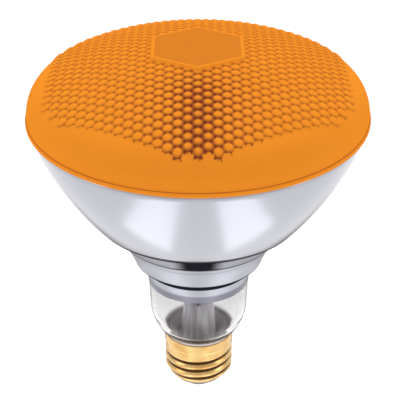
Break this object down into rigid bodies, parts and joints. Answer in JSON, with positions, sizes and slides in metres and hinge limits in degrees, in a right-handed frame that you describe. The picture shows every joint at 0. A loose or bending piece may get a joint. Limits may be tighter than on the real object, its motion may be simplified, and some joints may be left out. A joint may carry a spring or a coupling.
{
  "type": "flood bulb",
  "caption": "Reflector flood bulb with a domed, stippled amber glass face, a silvered bowl, a clear stepped neck and a brass screw base.",
  "frame": {"origin": "middle of the screw shell's open rim, on the lamp's axis", "axes": "+Z along the lamp's axis, out of its face; -Z towards the centre contact; two sides of the lens's six-sided pad face +X and -X"},
  "size_m": [0.1206, 0.1206, 0.1432],
  "materials": {
    "amber_glass": "amber coloured pressed glass, stippled",
    "reflector_glass": "glass silvered inside down to the neck",
    "stem_glass": "clear lead glass",
    "tungsten": "dull grey tungsten wire",
    "nickel": "nickel-plated wire",
    "copper": "bare copper wire",
    "cement": "brown baked basing cement",
    "brass": "bright rolled brass",
    "insulator_glass": "black moulded glass",
    "solder": "soft solder, dull"
  },
  "bodies": {
    "root": {"lens": "amber_glass", "reflector": "reflector_glass", "stem": "stem_glass", "exhaust_tube": "stem_glass", "arbor": "stem_glass", "filament": "tungsten", "support_wire_left": "tungsten", "support_wire_right": "tungsten", "inner_lead_left": "nickel", "inner_lead_right": "nickel", "seal_wire_left": "copper", "seal_wire_right": "copper", "centre_lead": "copper", "side_lead": "copper", "basing_cement": "cement", "screw_shell": "brass", "base_insulator": "insulator_glass", "centre_contact": "brass", "centre_solder": "solder", "side_solder": "solder"}
  },
  "joints": []
}
